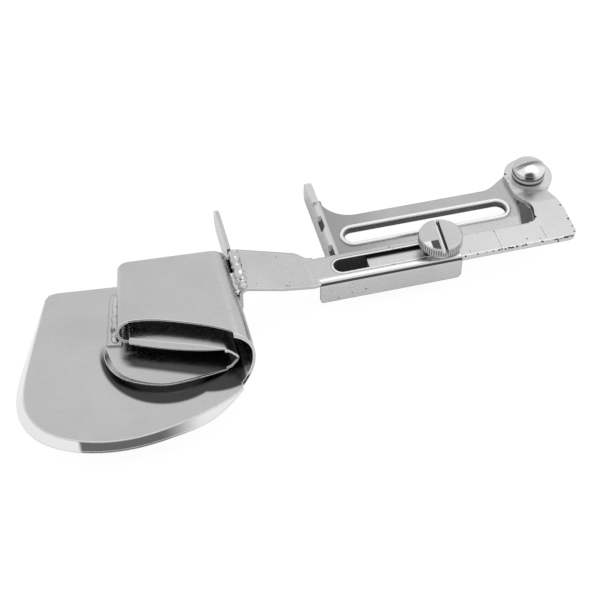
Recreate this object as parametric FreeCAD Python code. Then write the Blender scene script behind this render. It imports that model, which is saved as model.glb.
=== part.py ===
"""Swing-away bias binder for a sewing machine: one STEP file per piece, in millimetres.

X runs along the slotted bracket towards the hinge, Y to the back, Z up. The bracket's feet stand on Z = 0.
"""
import math
import os

import FreeCAD
import Part

os.makedirs("parts", exist_ok=True)

# Bracket that is screwed to the machine
BRACKET_THICK = 1.4
BRACKET_TOP = 7.0
BRACKET_CLEARANCE = 0.3
BRACKET_BACK = 22.3
TAB_FACE_X = 10.6
TAB_BACK = 37.7
TAB_BEND_R = 1.9
TAB_FLARE_R = 7.6
DIMPLE_FIRST = 3.6
DIMPLE_SPACING = 10.1
DIMPLE_R = 1.1
DIMPLE_RUN = 2.8
DIMPLE_DEPTH = 0.85
DIMPLE_ANGLE = 22
SLOT_LEFT = 14.8
SLOT_LENGTH = 40.4
SLOT_WIDTH = 4.6
RIM_WIDTH = 1.15
RIM_HEIGHT = 0.6
FOOT_LEAD = 7.4
FOOT_SLANT = 0.234
FOOT_RUN = 6.5
FOOT_BACK = 18.4

# Hinge
PIVOT_X = 63.9
PIVOT_Y = 23.8
LUG_R = 5.5
EAR_R = 5.85
HINGE_PIN_R = 2.4
HINGE_THREAD_R = 1.9
HINGE_HEAD_R = 3.95
HINGE_HEAD_H = 3.8
HINGE_DOME_R = 7.0
HINGE_RING_H = 1.1
HINGE_GROOVE = 0.3
HINGE_SLOT_WIDTH = 1.1
HINGE_SLOT_DEPTH = 1.2
HINGE_SLOT_TURN = -85.3
HINGE_END = 0.8
RUNNING_FIT = 0.05

# Graduated plate that swings
SCALE_THICK = 1.25
SCALE_FRONT = 0.4
SCALE_WIDTH = 7.0
SCALE_LEFT = 17.2
SCALE_LAP = 3.7
EAR_DROP = 1.05
EAR_SLOPE_FRONT = 10.1
EAR_SLOPE_BACK = 5.6

# Channel arm that slides on the graduated plate
ARM_THICK = 0.8
ARM_GAP = 0.2
ARM_DEPTH = 6.5
ARM_BEND_R = 1.5
ARM_LEFT = 4.8
ARM_RIGHT = 38.6
ARM_SLOT_LEFT = 9.0
ARM_SLOT_RIGHT = 37.0
ARM_SLOT_WIDTH = 4.0
STRIP_BEND_X = 3.1
STRIP_RISE = 4.8
STRIP_FRONT = -1.5
STRIP_BACK = 11.1

# Clamp screw
CLAMP_X = 34.4
CLAMP_HEAD_R = 5.0
CLAMP_HEAD_H = 2.65
CLAMP_COLLAR_R = 3.6
CLAMP_COLLAR_H = 1.65
CLAMP_SHANK_R = 1.75
CLAMP_SLOT_WIDTH = 1.1
CLAMP_SLOT_DEPTH = 1.1
CLAMP_SLOT_TURN = -4
CLAMP_END = 1.5

# Upright end of the strip, folded down beside the scroll
BLADE_BEND_R = 1.85
BLADE_BACK = 26.5
BLADE_BOTTOM = 7.0
BLADE_FRONT_R = 1.8
BLADE_LOW_R = 3.0
BLADE_HIGH_R = 4.5

# Lumps (y, radius) of the weld along the fold, and of the solder along the edge guide
WELD_X = -13.1
WELD_SINK = 0.95
WELD_FLOOR = 12.6
WELD_FILL_TOP = 13.8
WELD_LUMPS = (
    (-1.4, 0.6), (-0.6, 1.2), (0.4, 1.05), (1.4, 1.4), (2.5, 1.15), (3.6, 1.45),
    (4.8, 1.1), (5.9, 1.35), (7.0, 1.15), (8.2, 1.4), (9.4, 1.1), (10.3, 1.25), (11.0, 0.7),
)
SOLDER_LUMPS = (
    (0.5, 0.5), (1.4, 1.05), (2.8, 0.85), (4.2, 1.25), (5.8, 0.9), (7.4, 1.15),
    (9.0, 0.85), (10.6, 1.2), (12.2, 0.9), (13.4, 1.05), (14.3, 0.5),
)

# Scroll
SHEET = 0.6
LEAF_TOP = 7.55
LEAF_RIM_Z = 6.0
SCROLL_TOP = 15.2
SPINE_X = -18.4
CURL_R = 2.7
CURL_FRONT = (-39.8, -5.0)
CURL_BACK = (-36.7, 12.5)
TONGUE_SHEET = 0.4
TONGUE_FLOOR = 7.75
TONGUE_RIM = 1.05
TONGUE_TOP = 12.0
TONGUE_LIP = 1.1
TONGUE_FOLD_X = -20.7
TONGUE_FOLD_REACH = 3.1
TONGUE_BACK = 8.5
GUIDE_SHEET = 0.55
GUIDE_TOP = 8.75
GUIDE_WIDTH = 3.6
GUIDE_FRONT = (-45.2, -5.0)
GUIDE_BACK = (-42.2, 9.6)

# Outer edge of the leaf: x, y, how far the turned-down rim slopes in, and its share of the drop
LEAF_EDGE = (
    (-56.4, 12.7, 0.05, 0.03),
    (-59.6, 5.0, 0.7, 0.45),
    (-63.4, -4.0, 1.4, 1.0),
    (-66.0, -12.0, 1.8, 1.0),
    (-66.3, -18.0, 1.9, 1.0),
    (-63.2, -24.6, 1.8, 1.0),
    (-57.3, -28.9, 1.6, 1.0),
    (-50.5, -31.1, 1.4, 1.0),
    (-42.5, -31.7, 1.3, 1.0),
    (-34.0, -30.6, 1.4, 1.0),
    (-26.5, -28.4, 1.3, 1.0),
    (-21.5, -25.6, 0.6, 0.45),
    (-18.4, -23.2, 0.05, 0.03),
)
LEAF_BACK = ((-18.4, -23.1), (-18.4, 10.4), (-53.6, 14.1), (-55.4, 13.8))

# Front edge of the top plate, from the curl to the spine
MOUTH_EDGE = (
    (-39.8, -5.0),
    (-37.6, -5.1),
    (-34.2, -5.8),
    (-28.0, -8.1),
    (-21.5, -11.2),
    (-18.4, -13.3),
)

# Front edge of the spine: angle round it from the top, and y
SPINE_EDGE = (
    (-8, -12.9),
    (0, -13.3),
    (26, -14.5),
    (54, -15.2),
    (80, -16.3),
    (99, -17.6),
    (122, -19.0),
    (152, -20.8),
    (180, -23.2),
    (188, -24.0),
)

# Tongue: lower edge of the scoop, front edge of the upper leaf, and front edge of the fold between them
SCOOP_EDGE = (
    (-45.3, -5.2, 0.05, 0.03),
    (-46.0, -10.5, 1.5, 1.0),
    (-44.2, -14.5, 1.5, 1.0),
    (-39.7, -17.8, 1.4, 1.0),
    (-34.0, -19.6, 1.3, 1.0),
    (-28.3, -19.4, 1.2, 0.9),
    (-23.6, -18.6, 0.7, 0.5),
    (-20.7, -17.8, 0.05, 0.03),
)
UPPER_EDGE = (
    (-40.3, -7.6, 0.5, 1.0),
    (-36.1, -9.6, 0.8, 1.0),
    (-30.8, -11.7, 0.8, 1.0),
    (-25.6, -13.6, 0.7, 0.7),
    (-20.7, -15.2, 0.05, 0.03),
)
FOLD_EDGE = (
    (-8, -14.9),
    (0, -15.2),
    (45, -15.9),
    (90, -16.6),
    (135, -17.2),
    (180, -17.8),
    (188, -18.0),
)

ARM_MID = SCALE_FRONT + SCALE_WIDTH / 2
SCALE_BOTTOM = BRACKET_TOP + RUNNING_FIT + EAR_DROP
SCALE_TOP = SCALE_BOTTOM + SCALE_THICK
ARM_TOP = SCALE_TOP + RUNNING_FIT + ARM_THICK
ARM_WIDTH = SCALE_WIDTH + 2 * (ARM_GAP + ARM_THICK)
SCALE_EDGE_R = ARM_BEND_R - ARM_THICK - ARM_GAP
BRACKET_FRONT = SCALE_FRONT + SCALE_WIDTH + ARM_GAP + ARM_THICK + BRACKET_CLEARANCE
STRIP_TOP = ARM_TOP + STRIP_RISE
SPINE_R = (SCROLL_TOP - LEAF_TOP + SHEET) / 2
BLADE_FACE_X = SPINE_X + SPINE_R
FAR = 200.0


def vec(x, y, z=0.0):
    return FreeCAD.Vector(x, y, z)


def box(x0, x1, y0, y1, z0, z1):
    return Part.makeBox(x1 - x0, y1 - y0, z1 - z0, vec(x0, y0, z0))


def cylinder(x, y, z0, z1, radius):
    return Part.makeCylinder(radius, z1 - z0, vec(x, y, z0))


def rounded_wire(corners, place):
    """Closed wire through (a, b, radius) corners; place turns (a, b) into a point."""
    count = len(corners)
    starts, ends, mids = [], [], []
    for i, (a, b, radius) in enumerate(corners):
        pa, pb = corners[i - 1][:2], corners[(i + 1) % count][:2]
        u = (pa[0] - a, pa[1] - b)
        v = (pb[0] - a, pb[1] - b)
        lu, lv = math.hypot(*u), math.hypot(*v)
        u, v = (u[0] / lu, u[1] / lu), (v[0] / lv, v[1] / lv)
        half = math.acos(max(-1.0, min(1.0, u[0] * v[0] + u[1] * v[1]))) / 2
        back = radius / math.tan(half) if radius else 0.0
        w = (u[0] + v[0], u[1] + v[1])
        lw = math.hypot(*w) or 1.0
        reach = radius / math.sin(half) - radius if radius else 0.0
        starts.append((a + u[0] * back, b + u[1] * back))
        ends.append((a + v[0] * back, b + v[1] * back))
        mids.append((a + w[0] / lw * reach, b + w[1] / lw * reach))
    edges = []
    for i in range(count):
        if corners[i][2]:
            edges.append(Part.Arc(place(*starts[i]), place(*mids[i]), place(*ends[i])).toShape())
        nxt = (i + 1) % count
        if math.dist(ends[i], starts[nxt]) > 1e-6:
            edges.append(Part.makeLine(place(*ends[i]), place(*starts[nxt])))
    return Part.Wire(edges)


def plate(corners, z0, z1):
    """Flat plate with rounded corners, seen from above."""
    face = Part.Face(rounded_wire(corners, lambda a, b: vec(a, b, z0)))
    return face.extrude(vec(0, 0, z1 - z0))


def side_plate(corners, x0, x1):
    """Upright plate with rounded corners, seen along X."""
    face = Part.Face(rounded_wire(corners, lambda a, b: vec(x0, a, b)))
    return face.extrude(vec(x1 - x0, 0, 0))


def profile_along_y(corners, y0, y1):
    face = Part.Face(rounded_wire(corners, lambda a, b: vec(a, y0, b)))
    return face.extrude(vec(0, y1 - y0, 0))


def smooth(points, marks=None):
    """Smooth edge through the points, with its own or the given marks along it."""
    curve = Part.BSplineCurve()
    if marks:
        curve.interpolate(Points=points, Parameters=marks)
    else:
        curve.interpolate(points)
    return curve.toShape()


def outline_face(edge, points, closing, z):
    """Flat face inside a smooth edge and straight edges through the closing points."""
    chain = [points[-1]] + list(closing) + [points[0]]
    lines = [Part.makeLine(vec(p[0], p[1], z), vec(q[0], q[1], z)) for p, q in zip(chain, chain[1:])]
    return Part.Face(Part.Wire([edge] + lines))


def inset(points):
    """Moves each (x, y, slope, share) point in by its slope, square to its neighbours."""
    out = []
    for i, (x, y, slope, _) in enumerate(points):
        p = points[max(i - 1, 0)]
        q = points[min(i + 1, len(points) - 1)]
        dx, dy = q[0] - p[0], q[1] - p[1]
        size = math.hypot(dx, dy)
        out.append((x - dy / size * slope, y + dx / size * slope))
    return out


def rimmed(points, closing, z_flat, rise, sheet):
    """Sheet with a flat middle whose top is at z_flat, and a sloping rim out to the points."""
    marks = [0.0]
    for p, q in zip(points, points[1:]):
        marks.append(marks[-1] + math.dist(p[:2], q[:2]))
    inner = inset(points)
    flat_edge = smooth([vec(x, y, z_flat) for x, y in inner], marks)
    rim_edge = smooth([vec(x, y, z_flat + share * rise) for x, y, _, share in points], marks)
    flat = outline_face(flat_edge, inner, closing, z_flat).extrude(vec(0, 0, -sheet))
    rim = Part.makeRuledSurface(flat_edge, rim_edge).extrude(vec(0, 0, -sheet))
    return flat.fuse(rim)


def edge_trim(x, z, reach, rise, edge, depth):
    """Cutter in front of a fold round (x, z): its back face runs square to the sheet through (angle, y)."""
    rails = []
    for grow in (0.6, -1.2):
        points = []
        for angle, y in edge:
            turn = math.radians(angle)
            points.append(vec(x + (reach + grow) * math.sin(turn), y, z + (rise + grow) * math.cos(turn)))
        rails.append(points)
    marks = [float(i) for i in range(len(edge))]
    face = Part.makeRuledSurface(smooth(rails[0], marks), smooth(rails[1], marks))
    return face.extrude(vec(0, -depth, 0))


def half_fold(x, z, reach, rise, sheet, y0, y1):
    """Sheet bent round to the right of x: a half circle, or a longer fold with a narrow tip."""
    if reach == rise:
        wire = Part.Wire([Part.makeCircle(rise, vec(x, y0, z), vec(0, 1, 0))])
    else:
        flat, tip = 0.3 * reach, 0.62 * rise
        slope = math.atan(rise / (reach - flat))
        wire = rounded_wire((
            (x - rise, z - rise, 0),
            (x + flat, z - rise, rise),
            (x + reach + tip / math.sin(slope) - tip, z, tip),
            (x + flat, z + rise, rise),
            (x - rise, z + rise, 0),
        ), lambda a, b: vec(a, y0, b))
    outer = Part.Face(wire)
    inner = outer.makeOffset2D(-sheet)
    run = vec(0, y1 - y0, 0)
    return outer.extrude(run).cut(inner.extrude(run)).common(box(x, FAR, y0 - 1, y1 + 1, 0, FAR))


def stadium(x0, length, y, width, grow, z):
    """Wire of a slot with round ends, grown by grow all round."""
    radius = width / 2 + grow
    a, b = x0 + width / 2, x0 + length - width / 2
    return Part.Wire([
        Part.makeLine(vec(a, y - radius, z), vec(b, y - radius, z)),
        Part.Arc(vec(b, y - radius, z), vec(b + radius, y, z), vec(b, y + radius, z)).toShape(),
        Part.makeLine(vec(b, y + radius, z), vec(a, y + radius, z)),
        Part.Arc(vec(a, y + radius, z), vec(a - radius, y, z), vec(a, y - radius, z)).toShape(),
    ])


def slot_cutter(x0, length, y, width, z0, z1):
    return Part.Face(stadium(x0, length, y, width, 0.0, z0)).extrude(vec(0, 0, z1 - z0))


def tilted(x, y, z, normal):
    """Large block on the far side of a plane through the point, for trimming."""
    block = Part.makeBox(FAR, FAR, FAR, vec(-FAR / 2, -FAR / 2, 0))
    block.Placement = FreeCAD.Placement(vec(x, y, z), FreeCAD.Rotation(vec(0, 0, 1), normal))
    return block


def edge_rounding(y, z, side, radius, x0, x1):
    """Cutter that rounds a long upper edge at (y, z); side is 1 where the sheet lies in front of it."""
    near, far = sorted((y - side * radius, y + side))
    corner = box(x0, x1, near, far, z - radius, z + 1)
    core = Part.makeCylinder(radius, x1 - x0, vec(x0, y - side * radius, z - radius), vec(1, 0, 0))
    return corner.cut(core)


def lumpy_bar(x, z, lumps):
    """Bar of solder along Y whose radius swells and shrinks through the (y, radius) pairs."""
    points = [vec(x, lumps[0][0], z)] + [vec(x, y, z + r) for y, r in lumps] + [vec(x, lumps[-1][0], z)]
    face = Part.Face(Part.makePolygon(points + points[:1]))
    return face.revolve(vec(x, 0, z), vec(0, 1, 0), 360)


def largest(shape):
    return max(shape.Solids, key=lambda solid: solid.Volume)


def foot_top_x(y):
    """X of the foot's slanting bend at y."""
    return PIVOT_X - FOOT_LEAD + FOOT_SLANT * (y - BRACKET_FRONT)


def bracket_plate():
    z0, z1 = BRACKET_TOP - BRACKET_THICK, BRACKET_TOP
    flat_x = TAB_FACE_X + TAB_BEND_R
    body = plate((
        (flat_x, BRACKET_FRONT, 0),
        (foot_top_x(BRACKET_FRONT), BRACKET_FRONT, 0),
        (foot_top_x(FOOT_BACK), FOOT_BACK, 0),
        (PIVOT_X, PIVOT_Y - LUG_R, 0),
        (PIVOT_X, PIVOT_Y + LUG_R, 0),
        (PIVOT_X - LUG_R + 1.4, PIVOT_Y + LUG_R - 2.4, 4),
        (PIVOT_X - 10.8, BRACKET_BACK, 6),
        (flat_x, BRACKET_BACK, 0),
    ), z0, z1)
    body = body.fuse(cylinder(PIVOT_X, PIVOT_Y, z0, z1, LUG_R))
    inner_x = TAB_FACE_X + BRACKET_THICK
    flare = box(inner_x, inner_x + TAB_FLARE_R, BRACKET_BACK, BRACKET_BACK + TAB_FLARE_R, z0, z1)
    flare = flare.cut(cylinder(inner_x + TAB_FLARE_R, BRACKET_BACK + TAB_FLARE_R, z0, z1, TAB_FLARE_R))
    return body.fuse(flare)


def bracket_tab():
    top = BRACKET_TOP
    flat_x = TAB_FACE_X + TAB_BEND_R
    bend_back = BRACKET_BACK + TAB_FLARE_R
    wall = side_plate((
        (BRACKET_FRONT, 0, 1.0),
        (TAB_BACK, 0, 1.2),
        (TAB_BACK, top, 3.5),
        (BRACKET_FRONT, top, 0),
    ), TAB_FACE_X, TAB_FACE_X + BRACKET_THICK)
    wall = wall.cut(box(TAB_FACE_X - 1, flat_x, BRACKET_FRONT - 1, bend_back - 1.0,
                        top - TAB_BEND_R, top + 1))
    length = bend_back - 1.0 - BRACKET_FRONT
    outer = Part.makeCylinder(TAB_BEND_R, length,
                              vec(flat_x, BRACKET_FRONT, top - TAB_BEND_R), vec(0, 1, 0))
    inner = Part.makeCylinder(TAB_BEND_R - BRACKET_THICK, length,
                              vec(flat_x, BRACKET_FRONT, top - TAB_BEND_R), vec(0, 1, 0))
    quarter = box(TAB_FACE_X, flat_x, BRACKET_FRONT, bend_back, top - TAB_BEND_R, top)
    return wall.fuse(outer.cut(inner).common(quarter))


def bracket_dimples():
    """Round-ended cutters that press the two stiffening dimples into the bend."""
    away = TAB_BEND_R + DIMPLE_R - DIMPLE_DEPTH
    turn = math.radians(DIMPLE_ANGLE)
    x = TAB_FACE_X + TAB_BEND_R - away * math.cos(turn)
    z = BRACKET_TOP - TAB_BEND_R + away * math.sin(turn)
    cutters = []
    for i in range(2):
        y = BRACKET_FRONT + DIMPLE_FIRST + i * DIMPLE_SPACING - DIMPLE_RUN / 2
        rod = Part.makeCylinder(DIMPLE_R, DIMPLE_RUN, vec(x, y, z), vec(0, 1, 0))
        ends = [Part.makeSphere(DIMPLE_R, vec(x, y + step, z)) for step in (0, DIMPLE_RUN)]
        cutters.append(rod.fuse(ends))
    return cutters


def bracket_foot():
    """Right end of the sheet, bent down along a slanting line."""
    top_x = foot_top_x(BRACKET_FRONT)
    face = Part.Face(rounded_wire((
        (top_x - 1.2, BRACKET_TOP, 0),
        (top_x, BRACKET_TOP, 1.2),
        (top_x + FOOT_RUN, 0, 0),
        (top_x + FOOT_RUN - 1.7, 0, 0),
        (top_x - 1.2, BRACKET_TOP - BRACKET_THICK, 0),
    ), lambda a, b: vec(a, BRACKET_FRONT, b)))
    length = FOOT_BACK - BRACKET_FRONT
    return face.extrude(vec(length * FOOT_SLANT, length, 0))


def slot_rim(mid):
    """Bead raised round the bracket's slot, with sloping shoulders."""
    bead = Part.Face(stadium(SLOT_LEFT, SLOT_LENGTH, mid, SLOT_WIDTH, RIM_WIDTH, BRACKET_TOP))
    bead = bead.extrude(vec(0, 0, RIM_HEIGHT))
    bead = bead.cut(slot_cutter(SLOT_LEFT, SLOT_LENGTH, mid, SLOT_WIDTH, 0, FAR))
    crest = [edge for edge in bead.Edges if abs(edge.BoundBox.ZMin - BRACKET_TOP - RIM_HEIGHT) < 0.001]
    return bead.makeChamfer(min(0.6 * RIM_HEIGHT, 0.35 * RIM_WIDTH), crest)


def make_mounting_bracket():
    mid = (BRACKET_FRONT + BRACKET_BACK) / 2
    body = bracket_plate().fuse([bracket_tab(), bracket_foot()])
    cuts = [slot_cutter(SLOT_LEFT, SLOT_LENGTH, mid, SLOT_WIDTH, 0, FAR)]
    cuts.append(cylinder(PIVOT_X, PIVOT_Y, 0, BRACKET_TOP + 1, HINGE_THREAD_R))
    return body.cut(cuts + bracket_dimples()).fuse(slot_rim(mid)).removeSplitter()


def make_hinge_screw():
    """Shoulder screw: domed slotted head, smooth pin through the ear, end fastened in the lug."""
    head_z = BRACKET_TOP + 2 * RUNNING_FIT + SCALE_THICK
    top = head_z + HINGE_HEAD_H
    cap_z = head_z + HINGE_RING_H + HINGE_GROOVE
    base = Part.makeCylinder(HINGE_HEAD_R, HINGE_RING_H, vec(0, 0, head_z))
    neck = Part.makeCylinder(HINGE_HEAD_R - HINGE_GROOVE, cap_z - head_z, vec(0, 0, head_z))
    cap = Part.makeCylinder(HINGE_HEAD_R - 0.1, top - cap_z, vec(0, 0, cap_z))
    dome = Part.makeSphere(HINGE_DOME_R, vec(0, 0, top - HINGE_DOME_R))
    head = base.fuse([neck, cap.common(dome)])
    half = HINGE_SLOT_WIDTH / 2
    slot = box(-half, half, -FAR, FAR, top - HINGE_SLOT_DEPTH, top + 1)
    head = head.cut(slot.rotated(vec(0, 0, 0), vec(0, 0, 1), HINGE_SLOT_TURN))
    pin = Part.makeCylinder(HINGE_PIN_R, head_z - BRACKET_TOP, vec(0, 0, BRACKET_TOP))
    thread = Part.makeCylinder(HINGE_THREAD_R - 0.02, BRACKET_THICK + HINGE_END,
                               vec(0, 0, BRACKET_TOP - BRACKET_THICK - HINGE_END))
    screw = head.fuse([pin, thread])
    screw.translate(vec(PIVOT_X, PIVOT_Y, 0))
    return screw.removeSplitter()


def make_scale_plate():
    """Flat plate under the arm; its ear steps down to the lug and turns on the hinge screw."""
    back, right = SCALE_FRONT + SCALE_WIDTH, PIVOT_X + SCALE_LAP
    outline = plate((
        (SCALE_LEFT, SCALE_FRONT, 1.2),
        (right, SCALE_FRONT, 2.2),
        (right, PIVOT_Y - 12.8, 6),
        (PIVOT_X + 2.4, PIVOT_Y - 6.4, 1.0),
        (PIVOT_X + EAR_R - 1.0, PIVOT_Y - 2.8, 0),
        (PIVOT_X, PIVOT_Y, 0),
        (PIVOT_X - EAR_R, PIVOT_Y, 0),
        (PIVOT_X - EAR_R + 0.3, PIVOT_Y - 6.4, 3),
        (PIVOT_X - 3.2, PIVOT_Y - 11.2, 3),
        (PIVOT_X - 4.2, back, 1.6),
        (SCALE_LEFT, back, 1.2),
    ), 0, FAR)
    outline = outline.fuse(cylinder(PIVOT_X, PIVOT_Y, 0, FAR, EAR_R))
    y0, y3 = SCALE_FRONT - 1, PIVOT_Y + EAR_R + 1
    y1, y2 = PIVOT_Y - EAR_SLOPE_FRONT, PIVOT_Y - EAR_SLOPE_BACK
    low, high = SCALE_BOTTOM, SCALE_TOP
    sheet = side_plate((
        (y0, low, 0),
        (y1, low, 4),
        (y2, low - EAR_DROP, 4),
        (y3, low - EAR_DROP, 0),
        (y3, high - EAR_DROP, 0),
        (y2, high - EAR_DROP, 4),
        (y1, high, 4),
        (y0, high, 0),
    ), SCALE_LEFT - 1, right + 4)
    body = sheet.common(outline)
    cuts = [
        cylinder(PIVOT_X, PIVOT_Y, 0, FAR, HINGE_PIN_R + RUNNING_FIT),
        cylinder(CLAMP_X, ARM_MID, 0, FAR, CLAMP_SHANK_R + RUNNING_FIT),
        edge_rounding(SCALE_FRONT, high, -1, SCALE_EDGE_R, SCALE_LEFT - 1, right - 2.2),
        edge_rounding(back, high, 1, SCALE_EDGE_R, SCALE_LEFT - 1, PIVOT_X - 6),
    ]
    return body.cut(cuts).removeSplitter()


def arm_channel():
    """Channel over the graduated plate, open below, with a long slot in its web."""
    y0, y1 = ARM_MID - ARM_WIDTH / 2, ARM_MID + ARM_WIDTH / 2
    z0 = ARM_TOP - ARM_DEPTH
    outer = side_plate(((y0, z0, 0), (y1, z0, 0), (y1, ARM_TOP, ARM_BEND_R), (y0, ARM_TOP, ARM_BEND_R)),
                       ARM_LEFT, ARM_RIGHT)
    inner_r = ARM_BEND_R - ARM_THICK
    inner = side_plate((
        (y0 + ARM_THICK, z0 - 1, 0),
        (y1 - ARM_THICK, z0 - 1, 0),
        (y1 - ARM_THICK, ARM_TOP - ARM_THICK, inner_r),
        (y0 + ARM_THICK, ARM_TOP - ARM_THICK, inner_r),
    ), ARM_LEFT - 1, ARM_RIGHT + 1)
    corners = profile_along_y((
        (ARM_LEFT, z0, 0.8),
        (ARM_RIGHT, z0, 1.2),
        (ARM_RIGHT, ARM_TOP, 0),
        (ARM_LEFT, ARM_TOP, 0),
    ), y0, y1)
    return outer.cut(inner).common(corners)


def arm_strip():
    """Strip that rises from the channel and is folded down beside the scroll."""
    x_end = BLADE_FACE_X
    side = profile_along_y((
        (ARM_LEFT + 2, ARM_TOP, 0),
        (STRIP_BEND_X, ARM_TOP, 3),
        (x_end, STRIP_TOP, BLADE_BEND_R),
        (x_end, BLADE_BOTTOM + 3, 0),
        (x_end + ARM_THICK, BLADE_BOTTOM + 3, 0),
        (x_end + ARM_THICK, STRIP_TOP - ARM_THICK - 0.25, BLADE_BEND_R - ARM_THICK),
        (STRIP_BEND_X - 0.12, ARM_TOP - ARM_THICK, 3),
        (ARM_LEFT + 2, ARM_TOP - ARM_THICK, 0),
    ), STRIP_FRONT - 2, STRIP_BACK + 2)
    y0, y1 = ARM_MID - ARM_WIDTH / 2, ARM_MID + ARM_WIDTH / 2
    outline = plate((
        (x_end, STRIP_FRONT, 0),
        (-4.0, STRIP_FRONT, 12),
        (ARM_LEFT + 0.05, y0, 0),
        (ARM_LEFT + 0.05, y0 + ARM_BEND_R, 0),
        (ARM_LEFT + 2, y0 + ARM_BEND_R, 0),
        (ARM_LEFT + 2, y1 - ARM_BEND_R, 0),
        (ARM_LEFT + 0.05, y1 - ARM_BEND_R, 0),
        (ARM_LEFT + 0.05, y1 - 0.4, 0),
        (ARM_LEFT - 1.0, y1 - 0.4, 2),
        (1.4, STRIP_BACK - 1.2, 3),
        (x_end, STRIP_BACK, 0),
    ), 0, FAR)
    return side.common(outline)


def arm_blade():
    """Upright end of the strip, with an ear that runs back past the strip."""
    blade = side_plate((
        (STRIP_FRONT, BLADE_BOTTOM, BLADE_FRONT_R),
        (BLADE_BACK, BLADE_BOTTOM, BLADE_LOW_R),
        (BLADE_BACK, STRIP_TOP, BLADE_HIGH_R),
        (STRIP_FRONT, STRIP_TOP, 0),
    ), BLADE_FACE_X, BLADE_FACE_X + ARM_THICK)
    bend = box(BLADE_FACE_X - 1, FAR, STRIP_FRONT - 1, STRIP_BACK, STRIP_TOP - 2 * BLADE_BEND_R, FAR)
    return blade.cut(bend)


def make_slide_arm():
    """Channel, strip and upright blade: one folded sheet."""
    body = arm_channel().fuse([arm_strip(), arm_blade()])
    length = ARM_SLOT_RIGHT - ARM_SLOT_LEFT
    slot = slot_cutter(ARM_SLOT_LEFT, length, ARM_MID, ARM_SLOT_WIDTH, 0, FAR)
    return body.cut(slot).removeSplitter()


def make_clamp_screw():
    """Flat slotted head over a collar; the shank passes the arm's slot into the graduated plate."""
    z = ARM_TOP + RUNNING_FIT
    seat = 0.2
    collar = Part.makeCylinder(CLAMP_COLLAR_R, CLAMP_COLLAR_H + seat, vec(0, 0, z))
    head = Part.makeCylinder(CLAMP_HEAD_R, CLAMP_HEAD_H, vec(0, 0, z + CLAMP_COLLAR_H))
    head = head.makeChamfer(0.25, head.Edges)
    top = z + CLAMP_COLLAR_H + CLAMP_HEAD_H
    half = CLAMP_SLOT_WIDTH / 2
    slot = box(-half, half, -FAR, FAR, top - CLAMP_SLOT_DEPTH, top + 1)
    slot = slot.rotated(vec(0, 0, 0), vec(0, 0, 1), CLAMP_SLOT_TURN)
    bottom = SCALE_BOTTOM - CLAMP_END
    shank = Part.makeCylinder(CLAMP_SHANK_R, z + seat - bottom, vec(0, 0, bottom))
    screw = collar.fuse([head.cut(slot), shank])
    screw.translate(vec(CLAMP_X, ARM_MID, 0))
    return screw.removeSplitter()


def make_weld_bead(neighbours):
    """Lumpy bead over the fold, run down into the groove between the fold and the spine."""
    front, back = WELD_LUMPS[0][0], WELD_LUMPS[6][0]
    fill = box(BLADE_FACE_X - 1.4, WELD_X, front, back, WELD_FLOOR, WELD_FILL_TOP)
    z = STRIP_TOP - WELD_SINK
    crown = lumpy_bar(WELD_X, z, WELD_LUMPS).common(box(-FAR, 0, -FAR, FAR, z - 0.6, FAR))
    return largest(crown.fuse(fill).cut(neighbours))


def roll_curl():
    """Curled left edge of the top plate, running at a slant to the spine."""
    run = vec(CURL_BACK[0] - CURL_FRONT[0], CURL_BACK[1] - CURL_FRONT[1], 0)
    length = run.Length + 8
    run.normalize()
    z = SCROLL_TOP - CURL_R
    start = vec(CURL_FRONT[0], CURL_FRONT[1], z) - run * 4
    outer = Part.makeCylinder(CURL_R, length, start, run)
    inner = Part.makeCylinder(CURL_R - SHEET, length, start, run)
    ring = outer.cut(inner)
    corners = ((-FAR, -FAR / 2, 0), (0, -FAR / 2, 0), (0, FAR / 2, 0), (-FAR, FAR / 2, 0))
    keep = plate(corners, 0, FAR)
    keep.Placement = FreeCAD.Placement(vec(CURL_FRONT[0], CURL_FRONT[1], 0),
                                       FreeCAD.Rotation(vec(0, 1, 0), run))
    lip = plate(tuple((a if a < 0 else 1.3, b, 0) for a, b, _ in corners), 0, z)
    lip.Placement = keep.Placement
    return ring.common(keep.fuse(lip))


def roll_top():
    """Flat top plate between the curl and the spine."""
    back_y = CURL_BACK[1] - 0.0685 * (SPINE_X - CURL_BACK[0])
    z = SCROLL_TOP - SHEET
    edge = smooth([vec(x, y, z) for x, y in MOUTH_EDGE])
    return outline_face(edge, MOUTH_EDGE, ((SPINE_X, back_y), CURL_BACK), z).extrude(vec(0, 0, SHEET))


def roll_spine():
    """Half-round spine that joins the leaf to the top plate; its front edge runs forward as it falls."""
    z = SCROLL_TOP - SPINE_R
    front, back = SPINE_EDGE[-1][1], CURL_BACK[1] + 2
    fold = half_fold(SPINE_X, z, SPINE_R, SPINE_R, SHEET, front, back)
    return fold.cut(edge_trim(SPINE_X, z, SPINE_R, SPINE_R, SPINE_EDGE, FAR))


def make_scroll_shell():
    """Leaf, spine, top plate and curl: one folded sheet."""
    leaf = rimmed(LEAF_EDGE, LEAF_BACK, LEAF_TOP, LEAF_RIM_Z - LEAF_TOP, SHEET)
    trim_back = tilted(CURL_BACK[0], CURL_BACK[1], 0, vec(0.0685, 1, 0))
    trim_front = tilted(CURL_FRONT[0], CURL_FRONT[1], SCROLL_TOP, vec(0, -1, 0.28))
    curl = roll_curl().cut([trim_back, trim_front])
    spine = roll_spine().cut(trim_back)
    return leaf.fuse([roll_top(), curl, spine]).removeSplitter()


def guide_direction():
    run = vec(GUIDE_BACK[0] - GUIDE_FRONT[0], GUIDE_BACK[1] - GUIDE_FRONT[1], 0)
    length = run.Length
    run.normalize()
    return run, length


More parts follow.
